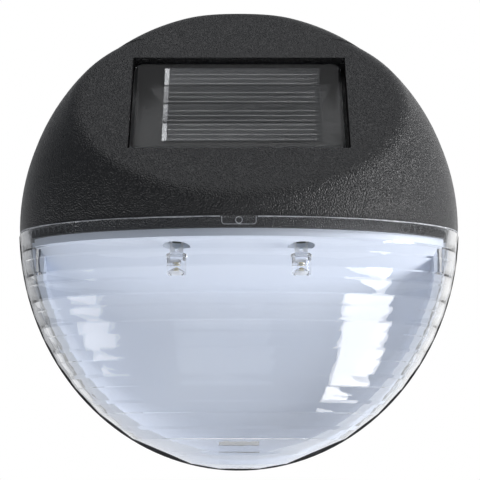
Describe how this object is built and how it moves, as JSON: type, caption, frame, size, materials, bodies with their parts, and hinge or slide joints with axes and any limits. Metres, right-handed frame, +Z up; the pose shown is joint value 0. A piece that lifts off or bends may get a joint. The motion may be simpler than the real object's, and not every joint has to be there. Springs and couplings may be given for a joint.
{
  "type": "solar wall light",
  "caption": "Solar wall light: black domed upper shell with a sloping solar panel, clear banded lens over a white reflector with lamps, back plate with keyholes, switch and battery door.",
  "frame": {"origin": "on the wall plane, at the centre of the upper shell's round outline", "axes": "+X to the right seen from the front, +Y into the wall, +Z up"},
  "size_m": [0.11, 0.0509, 0.1152],
  "materials": {
    "housing_plastic": "fine moulded grain",
    "tray_plastic": "satin",
    "knob_plastic": "satin",
    "door_plastic": "satin",
    "clear_plastic": "clear, polished",
    "white_plastic": "smooth white",
    "led_epoxy": "clear, polished",
    "led_phosphor": "matt",
    "tinned_metal": "tinned",
    "screw_steel": "zinc plated",
    "nickel_steel": "nickel plated",
    "solder": "bright",
    "board_green": "solder mask",
    "panel_black": "satin",
    "panel_resin": "clear, domed",
    "silicon": "fine bright lines",
    "busbar_silver": "printed",
    "foam": "closed cell foam",
    "seal_rubber": "soft",
    "chip_black": "moulded",
    "ferrite": "sintered",
    "capacitor_sleeve": "shrink sleeve",
    "cell_sleeve": "shrink sleeve",
    "switch_black": "moulded",
    "wire_red": "insulation",
    "wire_black": "insulation",
    "wire_white": "insulation"
  },
  "bodies": {
    "housing": {"rear_tray": "tray_plastic", "front_housing": "housing_plastic", "housing_seal": "seal_rubber", "housing_screws": "screw_steel", "lens": "clear_plastic", "reflector": "white_plastic", "control_board": "board_green", "solder_joints": "solder", "board_screws": "screw_steel", "driver_chip": "chip_black", "inductor": "ferrite", "capacitor": "capacitor_sleeve", "panel_board": "panel_black", "panel_tape": "foam", "solar_cells": "silicon", "cell_busbars": "busbar_silver", "panel_resin": "panel_resin", "panel_wire_red": "wire_red", "panel_wire_black": "wire_black", "battery_can": "nickel_steel", "battery_cap": "nickel_steel", "battery_sleeve": "cell_sleeve", "contact_positive": "nickel_steel", "contact_negative": "nickel_steel", "battery_wire_red": "wire_red", "battery_wire_black": "wire_black", "switch_body": "switch_black", "switch_terminals": "tinned_metal", "switch_wire_left": "wire_white", "switch_wire_right": "wire_white", "led_left": "led_epoxy", "led_left_leads": "tinned_metal", "led_left_die": "led_phosphor", "led_right": "led_epoxy", "led_right_leads": "tinned_metal", "led_right_die": "led_phosphor"},
    "battery_door": {"battery_door": "door_plastic", "door_seal": "foam", "door_screws": "screw_steel"},
    "switch_knob": {"switch_knob": "knob_plastic"}
  },
  "joints": [
    {"name": "switch_slide", "type": "slide", "parent": "housing", "child": "switch_knob", "axis": [1, 0, 0], "range_m": [0, 0.003]},
    {"name": "battery_door_lift", "type": "slide", "parent": "housing", "child": "battery_door", "axis": [0, 1, 0], "range_m": [0, 0.025]}
  ]
}
